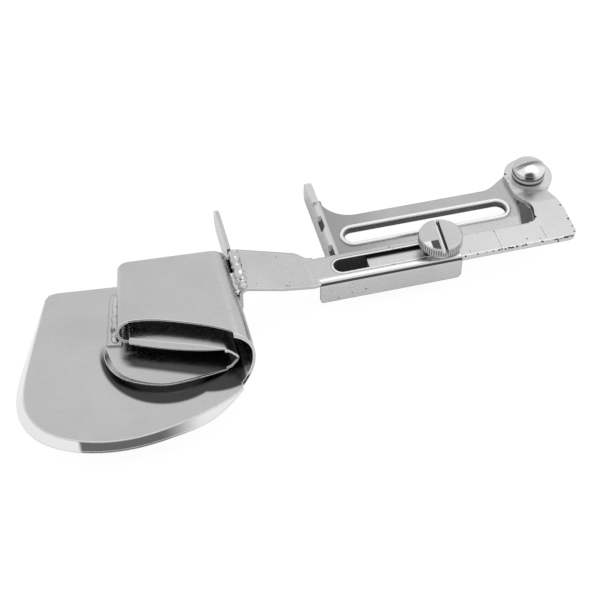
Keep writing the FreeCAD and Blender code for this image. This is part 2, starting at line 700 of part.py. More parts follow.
def make_edge_guide():
    """Strip soldered to the leaf: a low rounded wall that turns over the tongue's lower leaf."""
    run, length = guide_direction()
    low, high = LEAF_TOP, GUIDE_TOP
    face = Part.Face(rounded_wire((
        (0, low, 0),
        (0, high, 0.9),
        (GUIDE_WIDTH, high, 0.2),
        (GUIDE_WIDTH, high - GUIDE_SHEET, 0),
        (GUIDE_SHEET, high - GUIDE_SHEET, 0),
        (GUIDE_SHEET, low, 0),
    ), lambda a, b: vec(a, 0, b)))
    body = face.extrude(vec(0, length, 0))
    ends = plate(((0, 0, 0), (GUIDE_WIDTH, 0, 0.4), (GUIDE_WIDTH, length, 1.4), (0, length, 1.4)), 0, FAR)
    body = body.common(ends)
    body.Placement = FreeCAD.Placement(vec(GUIDE_FRONT[0], GUIDE_FRONT[1], 0),
                                       FreeCAD.Rotation(vec(0, 1, 0), run))
    return body


def make_guide_solder(neighbours):
    """Rough solder on the guide's upper face, which ties it to the curl above."""
    run, length = guide_direction()
    bar = lumpy_bar(GUIDE_WIDTH * 0.55, GUIDE_TOP - 0.1, SOLDER_LUMPS)
    solder = bar.common(box(0, GUIDE_WIDTH, 0, length, GUIDE_TOP, GUIDE_TOP + 3))
    solder.Placement = FreeCAD.Placement(vec(GUIDE_FRONT[0], GUIDE_FRONT[1], 0),
                                         FreeCAD.Rotation(vec(0, 1, 0), run))
    return largest(solder.cut(neighbours))


def tongue_scoop():
    """Lower leaf of the tongue: a shallow scoop in front, flat under the edge guide."""
    run, _ = guide_direction()
    side = GUIDE_SHEET + 0.05
    left = (GUIDE_FRONT[0] + side * run.y, GUIDE_FRONT[1] - side * run.x)
    steps = (TONGUE_BACK - left[1]) / run.y
    back_left = (left[0] + run.x * steps, TONGUE_BACK)
    top = TONGUE_FLOOR + TONGUE_SHEET
    seam = ((TONGUE_FOLD_X, FOLD_EDGE[-2][1] + 0.1), (TONGUE_FOLD_X, left[1] + 0.3),
            (left[0] + 1, left[1] + 0.3))
    scoop = rimmed(SCOOP_EDGE, seam, top, TONGUE_RIM, TONGUE_SHEET)
    flat = plate((
        (left[0], -5.2, 0),
        (TONGUE_FOLD_X, -5.2, 0),
        (TONGUE_FOLD_X, TONGUE_BACK, 0),
        (back_left[0], TONGUE_BACK, 1.0),
    ), TONGUE_FLOOR, top)
    return scoop.fuse(flat)


def make_scroll_tongue():
    """Inner sheet: lower scoop, narrow fold on the spine's side and upper leaf with a lip."""
    left_back = CURL_BACK[0] + (TONGUE_BACK - CURL_BACK[1]) * 0.177 - 0.6
    back = ((TONGUE_FOLD_X, FOLD_EDGE[1][1] + 0.1), (TONGUE_FOLD_X, TONGUE_BACK), (left_back, TONGUE_BACK))
    upper = rimmed(UPPER_EDGE, back, TONGUE_TOP, -TONGUE_LIP, TONGUE_SHEET)
    rise = (TONGUE_TOP - TONGUE_FLOOR) / 2
    z = TONGUE_FLOOR + rise
    fold = half_fold(TONGUE_FOLD_X, z, TONGUE_FOLD_REACH, rise, TONGUE_SHEET, FOLD_EDGE[-1][1], TONGUE_BACK)
    fold = fold.cut(edge_trim(TONGUE_FOLD_X, z, TONGUE_FOLD_REACH, rise, FOLD_EDGE, FAR))
    return tongue_scoop().fuse([upper, fold]).removeSplitter()


def build():
    arm = make_slide_arm()
    shell = make_scroll_shell()
    guide = make_edge_guide()
    return {
        "mounting_bracket": make_mounting_bracket(),
        "hinge_screw": make_hinge_screw(),
        "scale_plate": make_scale_plate(),
        "clamp_screw": make_clamp_screw(),
        "slide_arm": arm,
        "weld_bead": make_weld_bead([arm, shell]),
        "scroll_shell": shell,
        "scroll_tongue": make_scroll_tongue(),
        "edge_guide": guide,
        "guide_solder": make_guide_solder([guide, shell]),
    }


def main():
    nodes = build()
    bounds = FreeCAD.BoundBox()
    for shape in nodes.values():
        bounds.add(shape.optimalBoundingBox(False))
    shift = vec(-(bounds.XMin + bounds.XMax) / 2, -(bounds.YMin + bounds.YMax) / 2, -bounds.ZMin)
    print("shift", [round(v, 3) for v in shift], "size", round(bounds.XLength, 2), round(bounds.YLength, 2),
          round(bounds.ZLength, 2))
    for name, shape in nodes.items():
        shape.translate(shift)
        print(name, "solids", len(shape.Solids), "valid", shape.isValid(), "volume", round(shape.Volume, 2))
        shape.exportStep("parts/" + name + ".step")


main()
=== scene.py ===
"""Looks for a swing-away bias binder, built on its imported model."""
import math

import bmesh
import bpy
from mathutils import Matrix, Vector, noise


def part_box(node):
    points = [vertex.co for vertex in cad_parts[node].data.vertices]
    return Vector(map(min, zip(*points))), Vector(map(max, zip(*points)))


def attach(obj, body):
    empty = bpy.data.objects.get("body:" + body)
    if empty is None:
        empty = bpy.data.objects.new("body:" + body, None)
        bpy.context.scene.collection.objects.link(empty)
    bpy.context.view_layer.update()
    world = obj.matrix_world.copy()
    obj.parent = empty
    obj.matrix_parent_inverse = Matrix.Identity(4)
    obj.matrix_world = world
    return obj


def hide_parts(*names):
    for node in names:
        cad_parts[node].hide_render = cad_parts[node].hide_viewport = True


bl_info = {
    "name": "Bias Binder",
    "version": (1, 0, 0),
    "blender": (4, 5, 0),
    "location": "View3D > Sidebar > Bias Binder",
    "description": "Finishes, solder, knurl, graduations and stage for a swing-away bias binder",
    "category": "Object",
}

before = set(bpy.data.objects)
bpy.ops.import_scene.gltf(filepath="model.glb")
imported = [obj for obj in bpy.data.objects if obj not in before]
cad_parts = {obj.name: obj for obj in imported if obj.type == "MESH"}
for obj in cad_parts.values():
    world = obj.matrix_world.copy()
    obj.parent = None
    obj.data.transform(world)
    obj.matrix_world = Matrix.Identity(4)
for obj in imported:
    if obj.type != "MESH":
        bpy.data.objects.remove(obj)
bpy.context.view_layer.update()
MM = 0.001

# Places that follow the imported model
PLATE_LOW, PLATE_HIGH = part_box("scale_plate")
CLAMP_LOW, CLAMP_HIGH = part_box("clamp_screw")
TAB_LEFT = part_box("mounting_bracket")[0].x
ARM_WEB = PLATE_HIGH.z + 0.85 * MM

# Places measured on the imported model
ARM_FRONT = -3.59 * MM
ARM_SLOT = (Vector((9.35, 0.91, 0)) * MM, Vector((33.35, 0.91, 0)) * MM)
ARM_SLOT_HALF = 2.0 * MM
BRACKET_SLOT = (Vector((15.45, 12.51, 0)) * MM, Vector((51.25, 12.51, 0)) * MM)
BRACKET_SLOT_HALF = 2.3 * MM
DIMPLES = (Vector((8.86, 9.31, 5.91)) * MM, Vector((8.86, 19.41, 5.91)) * MM)

# Chips on the graduated plate: X, Y and radius in millimetres
CHIPS = ((56.9, 22.4, 0.36), (57.2, 20.9, 0.22), (65.5, 7.9, 0.3), (65.6, 3.1, 0.34),
         (65.6, 0.6, 0.25), (65.4, -1.2, 0.26), (58.6, 8.1, 0.36), (58.3, 5.7, 0.38),
         (47.1, 3.5, 0.24), (61.0, -2.7, 0.26))

# Graduations on the plate: X, front end and back end in millimetres
MARKS = ((39.55, -1.988, -0.588), (47.15, -1.988, 3.212), (58.35, -1.588, 2.412))
MARK_DEPTH = 0.02 * MM

# The photo's camera aims at this point
CAMERA_AIM = Vector((-1.65, -2.988, 5.63)) * MM

# How the brushed grain is stretched along each axis
SATIN_STRETCH = (0.15, 1.0, 1.0)
BRUSHED_STRETCH = (0.2, 1.0, 1.0)
PLATE_STRETCH = (0.3, 1.0, 1.0)
GUIDE_STRETCH = (1.0, 0.2, 1.0)

# Floor: its glow, and how much of it the camera and the mirrors see
FLOOR_GLOW = 1.06
FLOOR_SEEN = 0.88
FLOOR_MIRRORED = 0.15


def grey(level):
    """A neutral colour."""
    return (level, level, level, 1.0)


# A light grey laid on as a painted highlight
PAINTED_HIGHLIGHT = grey(0.95)


class BinderFinish(bpy.types.PropertyGroup):
    """Colours of the plated sheets and the solder."""
    scroll: bpy.props.FloatVectorProperty(
        name="Scroll", description="Satin plating of the folded scroll", subtype="COLOR",
        size=4, min=0.0, max=1.0, default=(0.55, 0.55, 0.55, 1.0))
    arm: bpy.props.FloatVectorProperty(
        name="Arm", description="Plating of the sliding arm", subtype="COLOR",
        size=4, min=0.0, max=1.0, default=(0.58, 0.58, 0.58, 1.0))
    plate: bpy.props.FloatVectorProperty(
        name="Graduated plate", description="Plating of the graduated plate", subtype="COLOR",
        size=4, min=0.0, max=1.0, default=(0.64, 0.64, 0.64, 1.0))
    bracket: bpy.props.FloatVectorProperty(
        name="Bracket", description="Worn plating of the bracket", subtype="COLOR",
        size=4, min=0.0, max=1.0, default=(0.5, 0.5, 0.5, 1.0))
    screw: bpy.props.FloatVectorProperty(
        name="Screws", description="Polished plating of the screws", subtype="COLOR",
        size=4, min=0.0, max=1.0, default=(0.62, 0.62, 0.62, 1.0))
    solder: bpy.props.FloatVectorProperty(
        name="Solder", description="Lumpy solder, plated over", subtype="COLOR",
        size=4, min=0.0, max=1.0, default=(0.6, 0.6, 0.6, 1.0))
    grime: bpy.props.FloatVectorProperty(
        name="Grime", description="Dark chips and pits", subtype="COLOR",
        size=4, min=0.0, max=1.0, default=(0.035, 0.035, 0.035, 1.0))


class BinderSizes(bpy.types.PropertyGroup):
    """Sizes of the small details."""
    ridges: bpy.props.IntProperty(
        name="Knurl ridges", description="Ridges round the clamp screw's head",
        default=56, min=20, max=120)
    ridge_depth: bpy.props.FloatProperty(
        name="Ridge depth", description="How far a ridge stands out of the rim",
        default=0.14 * MM, min=0.0, max=0.5 * MM, unit="LENGTH", precision=5)
    mark_width: bpy.props.FloatProperty(
        name="Mark width", description="Width of a graduation",
        default=0.1 * MM, min=0.05 * MM, max=0.5 * MM, unit="LENGTH", precision=5)
    grain: bpy.props.FloatProperty(
        name="Grain", description="Depth of the brushed grain",
        default=0.015 * MM, min=0.0, max=0.1 * MM, unit="LENGTH", precision=6)
    lumps: bpy.props.FloatProperty(
        name="Solder lumps", description="How far the solder's surface rises and falls",
        default=0.22 * MM, min=0.0, max=0.6 * MM, unit="LENGTH", precision=5)


class BinderStage(bpy.types.PropertyGroup):
    """Camera and light."""
    azimuth: bpy.props.FloatProperty(
        name="Azimuth", description="Camera angle round the object",
        default=math.radians(-14.4), subtype="ANGLE")
    elevation: bpy.props.FloatProperty(
        name="Elevation", description="Camera angle above the floor",
        default=math.radians(48.1), subtype="ANGLE")
    distance: bpy.props.FloatProperty(
        name="Distance", description="Camera to its target", default=319.9 * MM, unit="LENGTH")
    lens: bpy.props.FloatProperty(
        name="Lens", description="Focal length", default=84.0, unit="CAMERA")
    sky: bpy.props.FloatProperty(
        name="Sky", description="Brightness of the studio surround", default=0.9, min=0.0, max=2.0)
    key: bpy.props.FloatProperty(
        name="Key lamp", description="Power of the main lamp", default=0.5, unit="POWER", min=0.0)


# Small helpers for node trees

def add(tree, kind, settings=None, **inputs):
    """Adds a node, sets its properties, and sets or links its inputs by name or number."""
    made = tree.nodes.new(kind)
    for key, value in (settings or {}).items():
        setattr(made, key, value)
    for key, value in inputs.items():
        put(tree, made, key.replace("_", " "), value)
    return made


def put(tree, made, key, value):
    """Links a socket to an input, or sets the input's own value."""
    socket = made.inputs[key]
    if isinstance(value, bpy.types.NodeSocket):
        tree.links.new(value, socket)
    else:
        socket.default_value = value


def maths(tree, operation, a, b=0.0, c=0.0):
    """Result of a maths node; each value is a number or a socket."""
    made = add(tree, "ShaderNodeMath", {"operation": operation})
    for i, value in enumerate((a, b, c)):
        put(tree, made, i, value)
    return made.outputs[0]


def ramp(tree, value, low, high, start=0.0, end=1.0):
    """Value from low to high, mapped smoothly to start and end."""
    made = add(tree, "ShaderNodeMapRange", {"interpolation_type": "SMOOTHSTEP"})
    for i, number in enumerate((value, low, high, start, end)):
        put(tree, made, i, number)
    return made.outputs[0]


def blend(tree, mask, a, b, mode="MIX"):
    """Colour a where the mask is none, colour b where it is one."""
    made = add(tree, "ShaderNodeMix", {"data_type": "RGBA", "blend_type": mode})
    put(tree, made, 0, mask)
    put(tree, made, 6, a)
    put(tree, made, 7, b)
    return made.outputs[2]


def group_tree(name, inputs, outputs):
    """A new shader group with its inputs and outputs."""
    tree = bpy.data.node_groups.new(name, "ShaderNodeTree")
    for title, kind, value in inputs:
        socket = tree.interface.new_socket(title, in_out="INPUT", socket_type=kind)
        if value is not None:
            socket.default_value = value
    for title, kind in outputs:
        tree.interface.new_socket(title, in_out="OUTPUT", socket_type=kind)
    return tree, tree.nodes.new("NodeGroupInput").outputs, tree.nodes.new("NodeGroupOutput")


def use(tree, group, **inputs):
    """Places a shader group in a tree and returns its outputs."""
    made = tree.nodes.new("ShaderNodeGroup")
    made.node_tree = group
    for key, value in inputs.items():
        put(tree, made, key.replace("_", " "), value)
    return made.outputs


# Shared effects

def grain_group():
    """Fine brushed grain: a tone near one, and a height."""
    cloud_scale, cloud_share = 90.0, 0.65
    tree, given, out = group_tree("brushed_grain", [
        ("Vector", "NodeSocketVector", None),
        ("Stretch", "NodeSocketVector", (1.0, 1.0, 1.0)),
        ("Scale", "NodeSocketFloat", 4000.0),
        ("Amount", "NodeSocketFloat", 0.06),
    ], [("Tone", "NodeSocketFloat"), ("Height", "NodeSocketFloat")])
    stretched = add(tree, "ShaderNodeVectorMath", {"operation": "MULTIPLY"})
    put(tree, stretched, 0, given["Vector"])
    put(tree, stretched, 1, given["Stretch"])
    lines = add(tree, "ShaderNodeTexNoise", Vector=stretched.outputs[0], Scale=given["Scale"],
                Detail=3.0)
    cloud = add(tree, "ShaderNodeTexNoise", Vector=given["Vector"], Scale=cloud_scale, Detail=2.0)
    mixed = maths(tree, "ADD", maths(tree, "MULTIPLY", lines.outputs[0], 1.0 - cloud_share),
                  maths(tree, "MULTIPLY", cloud.outputs[0], cloud_share))
    swing = maths(tree, "MULTIPLY", maths(tree, "SUBTRACT", mixed, 0.5), given["Amount"])
    tree.links.new(maths(tree, "MULTIPLY_ADD", swing, 2.0, 1.0), out.inputs["Tone"])
    tree.links.new(lines.outputs[0], out.inputs["Height"])
    return tree


def spots_group():
    """Scattered small pits or chips; coverage runs from none to most of the surface."""
    patch_scale, patch_share = 0.17, 0.3
    highest, reach, soft = 0.74, 0.3, 0.04
    tree, given, out = group_tree("worn_spots", [
        ("Vector", "NodeSocketVector", None),
        ("Scale", "NodeSocketFloat", 900.0),
        ("Coverage", "NodeSocketFloat", 0.1),
    ], [("Mask", "NodeSocketFloat")])
    cells = add(tree, "ShaderNodeTexNoise", Vector=given["Vector"], Scale=given["Scale"],
                Detail=3.0)
    patches = add(tree, "ShaderNodeTexNoise", Vector=given["Vector"],
                  Scale=maths(tree, "MULTIPLY", given["Scale"], patch_scale), Detail=1.0)
    mixed = maths(tree, "ADD", maths(tree, "MULTIPLY", cells.outputs[0], 1.0 - patch_share),
                  maths(tree, "MULTIPLY", patches.outputs[0], patch_share))
    limit = maths(tree, "SUBTRACT", highest, maths(tree, "MULTIPLY", given["Coverage"], reach))
    tree.links.new(ramp(tree, mixed, limit, maths(tree, "ADD", limit, soft)), out.inputs["Mask"])
    return tree


def painted_edge_light_group():
    """Painted lines along a sheet's edges: a highlight where an edge leans forward, shade where it
    leans back.
    """
    forward, least, full = Vector((-0.35, -0.94, 0.0)), 0.12, 0.4
    near_least, near_full = 0.05, 0.3
    tree, given, out = group_tree("edge_lines", [("Radius", "NodeSocketFloat", 0.2 * MM)],
                                  [("Bright", "NodeSocketFloat"), ("Dark", "NodeSocketFloat"),
                                   ("Near", "NodeSocketFloat"), ("Normal", "NodeSocketVector")])
    soft = add(tree, "ShaderNodeBevel", {"samples": 6}, Radius=given["Radius"])
    true = add(tree, "ShaderNodeNewGeometry").outputs["True Normal"]
    turned = add(tree, "ShaderNodeVectorMath", {"operation": "SUBTRACT"})
    put(tree, turned, 0, soft.outputs[0])
    put(tree, turned, 1, true)
    spaces = {"vector_type": "VECTOR", "convert_from": "WORLD", "convert_to": "OBJECT"}
    local = add(tree, "ShaderNodeVectorTransform", spaces, Vector=turned.outputs[0])
    lean = add(tree, "ShaderNodeVectorMath", {"operation": "DOT_PRODUCT"})
    put(tree, lean, 0, local.outputs[0])
    put(tree, lean, 1, forward)
    size = add(tree, "ShaderNodeVectorMath", {"operation": "LENGTH"})
    put(tree, size, 0, local.outputs[0])
    # Bright is the painted highlight mask and Dark the painted shade mask; Near marks every edge
    tree.links.new(ramp(tree, lean.outputs["Value"], least, full), out.inputs["Bright"])
    tree.links.new(ramp(tree, lean.outputs["Value"], -full, -least, 1.0, 0.0), out.inputs["Dark"])
    tree.links.new(ramp(tree, size.outputs["Value"], near_least, near_full), out.inputs["Near"])
    tree.links.new(soft.outputs[0], out.inputs["Normal"])
    return tree


def shared(name, make):
    """A shader group by its name, made the first time it is asked for."""
    return bpy.data.node_groups.get(name) or make()


def finish():
    """The colours set in the panel."""
    return bpy.context.scene.binder_finish


def sizes():
    """The small sizes set in the panel."""
    return bpy.context.scene.binder_sizes


class Surface:
    """A finish in the making: its tree, place on the piece, edge masks with their painted edge
    light, and tone so far.

    A soft border is a pair in millimetres from a base: a mask starts to change at the first, and
    has changed at the second.
    """

    def __init__(self, tree, place, edges, tone):
        parts = add(tree, "ShaderNodeSeparateXYZ", Vector=place)
        self.tree, self.place, self.edges, self.tone = tree, place, edges, tone
        self.x, self.y, self.z = (parts.outputs[axis] for axis in "XYZ")

    def maths(self, operation, a, b=0.0, c=0.0):
        """Result of a maths node in this finish."""
        return maths(self.tree, operation, a, b, c)

    def rise(self, value, border, base=0.0):
        """None before the border, one after it."""
        return ramp(self.tree, value, base + border[0] * MM, base + border[1] * MM)

    def fall(self, value, border, base=0.0):
        """One before the border, none after it."""
        return ramp(self.tree, value, base + border[0] * MM, base + border[1] * MM, 1.0, 0.0)

    def times(self, first, *more):
        """Product of masks."""
        for value in more:
            first = self.maths("MULTIPLY", first, value)
        return first

    def most(self, first, *more):
        """Largest of masks."""
        for value in more:
            first = self.maths("MAXIMUM", first, value)
        return first

    def length(self, **parts):
        """Length of a vector given by its parts."""
        made = add(self.tree, "ShaderNodeVectorMath", {"operation": "LENGTH"})
        put(self.tree, made, 0, add(self.tree, "ShaderNodeCombineXYZ", **parts).outputs[0])
        return made.outputs["Value"]

    def circle(self, centre, radius, soft=0.8):
        """One inside a circle seen from above, none outside it; sizes in millimetres."""
        away = self.length(X=self.maths("SUBTRACT", self.x, centre[0] * MM),
                           Y=self.maths("SUBTRACT", self.y, centre[1] * MM))
        return self.fall(away, (radius - soft, radius))

    def slot(self, ends, half):
        """Distance outside a round-ended slot that runs along X between two points."""
        near = self.maths("MINIMUM", self.maths("MAXIMUM", self.x, ends[0].x), ends[1].x)
        away = self.length(X=self.maths("SUBTRACT", self.x, near),
                           Y=self.maths("SUBTRACT", self.y, ends[0].y))
        return self.maths("SUBTRACT", away, half)

    def spots(self, scale, coverage):
        """Mask of scattered chips."""
        return use(self.tree, shared("worn_spots", spots_group), Vector=self.place, Scale=scale,
                   Coverage=coverage)["Mask"]

    def mix(self, mask, a, b):
        """Colour a where the mask is none, colour b where it is one."""
        return blend(self.tree, mask, a, b)

    def lay(self, mask, amount, colour):
        """Lays a colour over the tone where the mask is; the amount is a number or a mask."""
        self.tone = self.mix(self.times(mask, amount), self.tone, colour)


def plated_metal(name, colour, roughness, stretch=(1.0, 1.0, 1.0), amount=0.16, pits=0.05,
                 edge=0.2 * MM, shade=None, lines=0.75, shine="Bright"):
    """Plated sheet metal: brushed tone, dark pits, painted highlight and shade lines at the edges,
    and a piece's own painted light and shade.
    """
    pit_depth, glint_dulling, smoother, rougher, bump_strength = 0.7, 0.7, 0.04, 0.05, 0.6
    mat = bpy.data.materials.new(name)
    mat.use_nodes = True
    tree = mat.node_tree
    metal = tree.nodes["Principled BSDF"]
    place = add(tree, "ShaderNodeTexCoord").outputs["Object"]
    grain = use(tree, shared("brushed_grain", grain_group), Vector=place, Stretch=stretch,
                Amount=amount)
    pitted = use(tree, shared("worn_spots", spots_group), Vector=place, Coverage=pits)["Mask"]
    edges = use(tree, shared("edge_lines", painted_edge_light_group), Radius=edge)
    tone = blend(tree, 1.0, tuple(colour), grain["Tone"], "MULTIPLY")
    # Painted highlight along edges that lean forward, or along every edge when shine is Near
    bright = maths(tree, "MULTIPLY", edges[shine], lines)
    if shine == "Bright":
        # Painted shade along edges that lean back
        tone = blend(tree, maths(tree, "MULTIPLY", edges["Dark"], lines), tone, grey(0.06))
    # The piece's own painted highlights, shade and reflections, and the plate's chips
    if shade:
        surface = Surface(tree, place, edges, tone)
        shade(surface)
        tone = surface.tone
    tone = blend(tree, bright, tone, PAINTED_HIGHLIGHT)
    tone = blend(tree, maths(tree, "MULTIPLY", pitted, pit_depth), tone, tuple(finish().grime))
    put(tree, metal, "Base Color", tone)
    # Painted highlights are made less metallic, so that they stay light
    dulled = maths(tree, "MULTIPLY", bright, glint_dulling)
    put(tree, metal, "Metallic", maths(tree, "SUBTRACT", 1.0, dulled))
    put(tree, metal, "Roughness", ramp(tree, grain["Height"], 0.2, 0.8, roughness - smoother,
                                       roughness + rougher))
    bump = add(tree, "ShaderNodeBump", Height=maths(tree, "SUBTRACT", grain["Height"], pitted),
               Strength=bump_strength, Distance=sizes().grain, Normal=edges["Normal"])
    put(tree, metal, "Normal", bump.outputs[0])
    return mat


def paint(node, mat):
    """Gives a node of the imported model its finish."""
    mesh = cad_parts[node].data
    mesh.materials.clear()
    mesh.materials.append(mat)


# Painted light and shade of each piece, and the plate's chips; s is the piece's Surface

def plate_chips_and_painted_shade(s):
    """Dark chips along the edges, most of all at the front, and a painted shade under the arm's
    slot.
    """
    front_edge, top_edge, chip_soft = (0.3, 0.45), (-0.45, -0.25), 0.12
    shade_front, shade_back, shade_right = (0.9, 1.6), (2.2, 2.6), (31.0, 34.0)
    front = s.times(s.fall(s.y, front_edge, PLATE_LOW.y), s.rise(s.z, top_edge, PLATE_HIGH.z))
    at_front = s.times(s.spots(scale=1500.0, coverage=0.7), front)
    at_edges = s.times(s.spots(scale=1300.0, coverage=0.72), s.edges["Near"])
    single = [s.circle((x, y), radius, chip_soft) for x, y, radius in CHIPS]
    middle = ARM_SLOT[0].y
    # Painted shade on the plate under the back wall of the arm's slot
    under = s.times(s.rise(s.y, shade_front, middle), s.fall(s.y, shade_back, middle),
                    s.fall(s.x, shade_right))
    s.lay(under, 0.9, grey(0.03))
    s.lay(s.most(at_front, at_edges, *single), 1.0, tuple(finish().grime))


def shell_painted_light(s):
    """Painted highlight on the turned-down rim with a painted dark reflection in its middle, and
    the tongue's painted dark reflection on the leaf.
    """
    leaf_top, reflection_back, rim_top = (7.7, 7.9), (-12.0, -6.0), (7.3, 7.48)
    middle_left, middle_right, middle_back = (-56.9, -55.9), (-40.0, -29.0), (-26.0, -24.0)
    left_centre, left_radius = (-34.15, -12.0), 15.0
    right_centre, right_radius = (-24.15, -12.0), 14.2
    inner_centre, inner_radius, inner_soft = (-34.15, -11.5), 12.9, 1.5
    # Painted dark reflection of the tongue on the leaf
    under = s.most(s.circle(left_centre, left_radius), s.circle(right_centre, right_radius))
    under = s.times(under, s.fall(s.z, leaf_top), s.fall(s.y, reflection_back))
    # Painted highlight on the turned-down rim
    rim = s.fall(s.z, rim_top)
    s.lay(rim, 0.9, grey(0.93))
    # Painted dark reflection in the rim's middle
    middle = s.times(s.rise(s.x, middle_left), s.fall(s.x, middle_right), rim,
                     s.fall(s.y, middle_back))
    s.lay(middle, 0.92, grey(0.08))
    # The painted reflection is lighter nearer the tongue
    inner = s.circle(inner_centre, inner_radius, inner_soft)
    s.lay(under, 0.95, s.mix(inner, grey(0.035), grey(0.2)))


def tongue_painted_reflection(s):
    """Painted dark reflection of the roll's inside on the tongue's lower leaf, behind a slanting
    line.
    """
    slant, line_y = -0.427, -33.0 * MM
    leaf_top, left_end, start, paler = (9.6, 9.9), (-44.6, -41.6), (-0.9, 0.5), (2.0, 4.0)
    behind = s.maths("SUBTRACT", s.y, s.maths("MULTIPLY_ADD", s.x, slant, line_y))
    mask = s.times(s.fall(s.z, leaf_top), s.rise(behind, start), s.rise(s.x, left_end))
    # Painted reflection: darkest at the slanting line, paler further back
    s.lay(mask, 0.9, s.mix(s.rise(behind, paler), grey(0.03), grey(0.25)))


def arm_painted_light(s):
    """Painted highlights on the slot's lip and the bend, a painted dark reflection below the bend,
    and painted shade round the lip, on the slot's back wall and inside the channel.
    """
    channel_left, under_web = (2.5, 3.2), (-0.9, -0.6)
    inside_front, inside_back = (0.3, 0.6), (8.4, 8.7)
    lip_shade, lip_end = (0.62, 0.74), (0.4, 0.52)
    wall_end, wall_front = (0.1, 0.16), (0.0, 1.0)
    bend_back, bend_low = (1.6, 1.9), (-0.42, -0.32)
    line_low, line_high = (-0.95, -0.85), (-0.45, -0.35)
    outside = s.slot(ARM_SLOT, ARM_SLOT_HALF)
    # Painted shade round the slot, then a painted highlight on its lip
    s.lay(s.fall(outside, lip_shade), 0.55, grey(0.12))
    s.lay(s.fall(outside, lip_end), 0.9, PAINTED_HIGHLIGHT)
    # Painted shade on the slot's back wall
    wall = s.times(s.fall(outside, wall_end), s.rise(s.y, wall_front, ARM_SLOT[0].y))
    s.lay(wall, 0.95, grey(0.02))
    right = s.rise(s.x, channel_left)
    front = s.times(s.fall(s.y, bend_back, ARM_FRONT), right)
    # Painted highlight on the front bend
    s.lay(s.times(s.rise(s.z, bend_low, ARM_WEB), front), 0.45, grey(0.9))
    # Painted dark reflection line below the bend
    line = s.times(front, s.rise(s.z, line_low, ARM_WEB), s.fall(s.z, line_high, ARM_WEB))
    s.lay(line, 0.93, grey(0.03))
    # Painted shade inside the channel, under the web
    inside = s.times(s.rise(s.y, inside_front, ARM_FRONT), s.fall(s.y, inside_back, ARM_FRONT))
    s.lay(s.times(s.fall(s.z, under_web, ARM_WEB), inside, right), 0.95, grey(0.01))


def bracket_painted_light(s):
    """Painted shade on the plate near the tab, painted highlights on the bend, a strip and the rim,
    and painted shade on the slot wall, in the dimples and on the foot.
    """
    tab_shade_start, tab_shade_end, tab_shade_amount = 1.6 * MM, 20.0 * MM, 0.42
    plate_low, rim_low = (6.4, 6.9), (7.3, 7.5)
    bend_right, bend_low = (1.3, 1.7), (5.9, 6.5)
    strip_back, strip_left = (9.0, 9.3), (22.0, 38.0)
    wall_end, wall_top = (0.1, 0.16), (7.15, 7.3)
    dimple_round, dimple_long = (1.11, 1.16), (1.3, 2.3)
    foot_top, foot_left, foot_low = (6.2, 6.8), (52.0, 54.0), (1.0, 2.2)
    flat = s.rise(s.z, plate_low)
    # Painted shade on the plate, darkest next to the tab
    near = ramp(s.tree, s.x, TAB_LEFT + tab_shade_start, TAB_LEFT + tab_shade_end, tab_shade_amount, 0.0)
    s.lay(near, flat, grey(0.16))
    # Painted highlights on the tab's bend, the plate's front strip and the slot's rim
    bend = s.times(s.fall(s.x, bend_right, TAB_LEFT), s.rise(s.z, bend_low), 0.55)
    strip = s.times(s.fall(s.y, strip_back), s.rise(s.x, strip_left), flat, 0.2)
    rim = s.times(s.rise(s.z, rim_low), 0.85)
    s.lay(s.most(bend, strip, rim), 1.0, grey(0.93))
    # Painted shade on the slot's wall
    outside = s.slot(BRACKET_SLOT, BRACKET_SLOT_HALF)
    s.lay(s.times(s.fall(outside, wall_end), s.fall(s.z, wall_top)), 0.85, grey(0.1))
    # Painted shade in the dimples
    for middle in DIMPLES:
        x, y, z = (s.maths("SUBTRACT", value, at) for value, at in zip((s.x, s.y, s.z), middle))
        along = s.fall(s.maths("ABSOLUTE", y), dimple_long)
        s.lay(s.fall(s.length(X=x, Z=z), dimple_round), along, grey(0.07))
    # Painted shade on the foot under the ear
    foot = s.times(s.fall(s.z, foot_top), s.rise(s.x, foot_left))
    s.lay(foot, s.rise(s.z, foot_low), grey(0.01))


def hinge_painted_light(s):
    """Painted highlight on the dome with a painted dark reflection patch, and painted shade in the
    groove over the ring and at the ring's foot.
    """
    groove_low, groove_high = (9.38, 9.44), (9.78, 9.86)
    foot_top, dome_low, bright_back = (8.62, 8.8), (9.85, 9.95), (19.2, 20.2)
    patch_back, patch_left, patch_right = (17.9, 18.5), (59.6, 60.4), (61.6, 63.0)
    # Painted shade in the groove over the ring
    groove = s.times(s.rise(s.z, groove_low), s.fall(s.z, groove_high))
    dome = s.rise(s.z, dome_low)
    # Painted highlight on the dome
    s.lay(s.times(dome, s.fall(s.y, bright_back)), 0.85, PAINTED_HIGHLIGHT)
    # Painted dark reflection patch on the dome
    patch = s.times(dome, s.fall(s.y, patch_back), s.rise(s.x, patch_left),
                    s.fall(s.x, patch_right))
    # Dark paint for the groove and the ring's foot (painted shade) and the patch (painted
    # reflection)
    s.lay(s.most(groove, s.fall(s.z, foot_top), patch), 0.93, grey(0.02))


